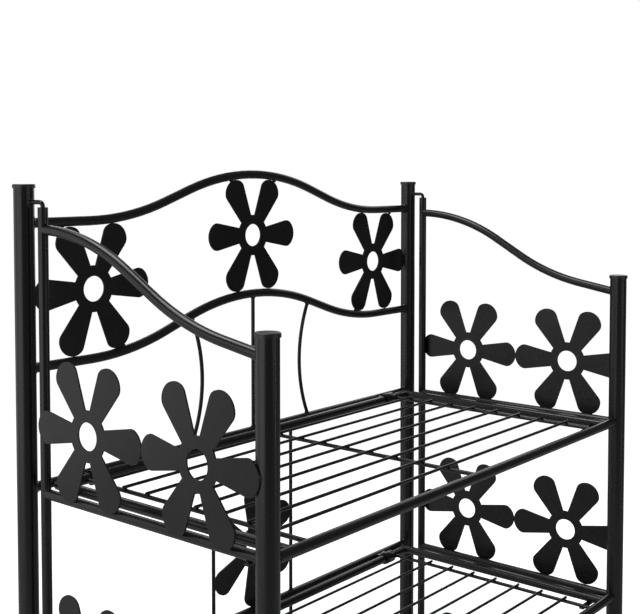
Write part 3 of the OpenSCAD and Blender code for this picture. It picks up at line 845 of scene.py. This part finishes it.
class STAND_OT_weld_shelves(bpy.types.Operator):
    """Weld the tubes, rods, wires and pins of the shelves"""
    bl_idname = "stand.weld_shelves"
    bl_label = "Weld the shelves"

    def execute(self, context):
        w = context.scene.stand_weld
        for level in LEVELS:
            body = level + "_shelf"
            ends = [level + "_shelf_front_tube", level + "_shelf_rear_tube"]
            sides = level + "_shelf_side_tubes"
            deck = level + "_shelf_deck"
            weld_tube_ends(level + "_tube_welds", [sides], ends, radius_of(ends[0]), w.tube_leg, body, w)
            thin = min(np.ptp(rod[:, 0]) for rod in deck_parts(level)[1]) / 2
            weld_tube_ends(level + "_rod_welds", [deck], ends, thin, w.rod_leg, body, w, WIRE_FINISH)
            pins = level + "_shelf_pins"
            sleeve = radius_of(pins)
            weld_tube_ends(level + "_pin_welds", [pins], [sides], sleeve, w.rod_leg, body, w, WIRE_FINISH)
            weld_deck(level, w)
        return {"FINISHED"}


class STAND_OT_set_studio(bpy.types.Operator):
    """Set up the camera, the floor, the white surroundings and the lamps"""
    bl_idname = "stand.set_studio"
    bl_label = "Set up the studio"

    def execute(self, context):
        s = context.scene.stand_studio
        scene = context.scene
        scene.view_settings.view_transform = "Standard"
        add_camera(scene, s)
        add_floor(s)
        add_room(scene, s)
        for name, (setting, turn, rise, size) in LAMPS.items():
            add_lamp(name, math.radians(turn), math.radians(rise), size, getattr(s, setting))
        return {"FINISHED"}


def add_camera(scene, s):
    """Camera at the photograph's place and angle."""
    data = bpy.data.cameras.new("camera")
    data.sensor_width = SENSOR_WIDTH
    data.lens = s.focal_length
    data.shift_y = s.lens_rise
    data.dof.use_dof = False
    data.clip_start = NEAREST_SEEN
    camera = bpy.data.objects.new("camera", data)
    camera.location = s.camera_place
    camera.rotation_euler = (math.pi / 2 - s.camera_dip, 0, -s.camera_turn)
    scene.collection.objects.link(camera)
    scene.camera = camera


def seen_share(tree, mirrored):
    """How white the surroundings show: in full to the camera and through glass, in part in the gloss."""
    path = tree.nodes.new("ShaderNodeLightPath")
    direct = tree.nodes.new("ShaderNodeMath")
    direct.operation = "MAXIMUM"
    tree.links.new(path.outputs["Is Camera Ray"], direct.inputs[0])
    tree.links.new(path.outputs["Is Transmission Ray"], direct.inputs[1])
    share = tree.nodes.new("ShaderNodeMath")
    share.operation = "MULTIPLY_ADD"
    share.inputs[1].default_value = mirrored
    share.use_clamp = True
    tree.links.new(path.outputs["Is Glossy Ray"], share.inputs[0])
    tree.links.new(direct.outputs["Value"], share.inputs[2])
    return share.outputs["Value"]


def add_floor(s):
    """Pale floor that keeps the stand's shadow and turns white away from the stand."""
    bm = bmesh.new()
    bmesh.ops.create_grid(bm, x_segments=8, y_segments=8, size=FLOOR_HALF)
    mesh = bpy.data.meshes.new("floor")
    bm.to_mesh(mesh)
    bm.free()
    floor = bpy.data.objects.new("floor", mesh)
    floor.location.z = -FLOOR_DROP
    bpy.context.scene.collection.objects.link(floor)
    material = bpy.data.materials.new("pale_floor")
    material.use_nodes = True
    tree = material.node_tree
    tree.nodes.clear()
    output = tree.nodes.new("ShaderNodeOutputMaterial")
    matt = tree.nodes.new("ShaderNodeBsdfDiffuse")
    tone = grain_nodes(tree, FLOOR_CLOUDS, 2)
    ramp = tree.nodes.new("ShaderNodeMix")
    ramp.data_type = "RGBA"
    ramp.inputs["A"].default_value = (*[c * FLOOR_SHADE for c in s.floor_colour], 1)
    ramp.inputs["B"].default_value = (*s.floor_colour, 1)
    tree.links.new(tone.outputs["Fac"], ramp.inputs["Factor"])
    tree.links.new(ramp.outputs["Result"], matt.inputs["Color"])

    place = tree.nodes.new("ShaderNodeTexCoord")
    away = tree.nodes.new("ShaderNodeVectorMath")
    away.operation = "LENGTH"
    tree.links.new(place.outputs["Object"], away.inputs[0])
    fade = ranged(tree, away.outputs["Value"], s.floor_glow, 1, *s.floor_fade)
    shown = tree.nodes.new("ShaderNodeMath")
    shown.operation = "MULTIPLY"
    tree.links.new(seen_share(tree, s.mirrored), shown.inputs[0])
    tree.links.new(fade, shown.inputs[1])
    glow = tree.nodes.new("ShaderNodeEmission")
    tree.links.new(shown.outputs["Value"], glow.inputs["Strength"])
    both = tree.nodes.new("ShaderNodeAddShader")
    tree.links.new(matt.outputs["BSDF"], both.inputs[0])
    tree.links.new(glow.outputs["Emission"], both.inputs[1])
    tree.links.new(both.outputs["Shader"], output.inputs["Surface"])
    mesh.materials.append(material)


def add_room(scene, s):
    """Surroundings that are white to the camera and give the stand a low even light."""
    world = bpy.data.worlds.new("studio")
    scene.world = world
    world.use_nodes = True
    tree = world.node_tree
    back = tree.nodes["Background"]
    back.inputs["Color"].default_value = (1, 1, 1, 1)
    level = tree.nodes.new("ShaderNodeMapRange")
    level.inputs["To Min"].default_value = s.room_light
    level.inputs["To Max"].default_value = 1
    tree.links.new(seen_share(tree, s.mirrored), level.inputs["Value"])
    tree.links.new(level.outputs["Result"], back.inputs["Strength"])


def add_lamp(name, turn, rise, size, brightness):
    """Rectangular lamp that the camera doesn't see, turned from the front to the left and raised."""
    data = bpy.data.lights.new(name, "AREA")
    data.shape = "RECTANGLE"
    data.size = size[0]
    data.size_y = size[1]
    data.energy = math.pi * size[0] * size[1] * brightness
    lamp = bpy.data.objects.new(name, data)
    out = Vector((-math.sin(turn) * math.cos(rise), -math.cos(turn) * math.cos(rise), math.sin(rise)))
    lamp.location = Vector((0, 0, LAMP_AIM)) + out * LAMP_DISTANCE
    lamp.rotation_euler = out.to_track_quat("Z", "Y").to_euler()
    lamp.visible_camera = False
    bpy.context.scene.collection.objects.link(lamp)


class STAND_PT_panel(bpy.types.Panel):
    """Steps that dress the stand, in order"""
    bl_idname = "STAND_PT_panel"
    bl_label = "Plant stand"
    bl_space_type = "VIEW_3D"
    bl_region_type = "UI"
    bl_category = "Plant stand"

    def draw(self, context):
        for step in STEPS:
            self.layout.operator(step.bl_idname)
        for place in GROUPS:
            group = getattr(context.scene, place)
            box = self.layout.box()
            for name in group.__annotations__:
                box.prop(group, name)


STEPS = (STAND_OT_coat_tubes, STAND_OT_coat_flowers, STAND_OT_coat_wires, STAND_OT_finish_mouldings,
         STAND_OT_weld_back_frame, STAND_OT_weld_back_rods, STAND_OT_weld_knuckles,
         STAND_OT_weld_side_frames, STAND_OT_weld_flowers, STAND_OT_weld_shelves, STAND_OT_set_studio)
GROUPS = {"stand_coat": CoatSettings, "stand_weld": WeldSettings, "stand_studio": StudioSettings}


def register():
    for group in GROUPS.values():
        bpy.utils.register_class(group)
    for name, group in GROUPS.items():
        setattr(bpy.types.Scene, name, PointerProperty(type=group))
    for step in STEPS:
        bpy.utils.register_class(step)
    bpy.utils.register_class(STAND_PT_panel)


def unregister():
    bpy.utils.unregister_class(STAND_PT_panel)
    for step in reversed(STEPS):
        bpy.utils.unregister_class(step)
    for name in GROUPS:
        delattr(bpy.types.Scene, name)
    for group in GROUPS.values():
        bpy.utils.unregister_class(group)


def main():
    register()
    bpy.ops.stand.coat_tubes()
    bpy.ops.stand.coat_flowers()
    bpy.ops.stand.coat_wires()
    bpy.ops.stand.finish_mouldings()
    bpy.ops.stand.weld_back_frame()
    bpy.ops.stand.weld_back_rods()
    bpy.ops.stand.weld_knuckles()
    bpy.ops.stand.weld_side_frames()
    bpy.ops.stand.weld_flowers()
    bpy.ops.stand.weld_shelves()
    bpy.ops.stand.set_studio()


if __name__ == "__main__":
    main()
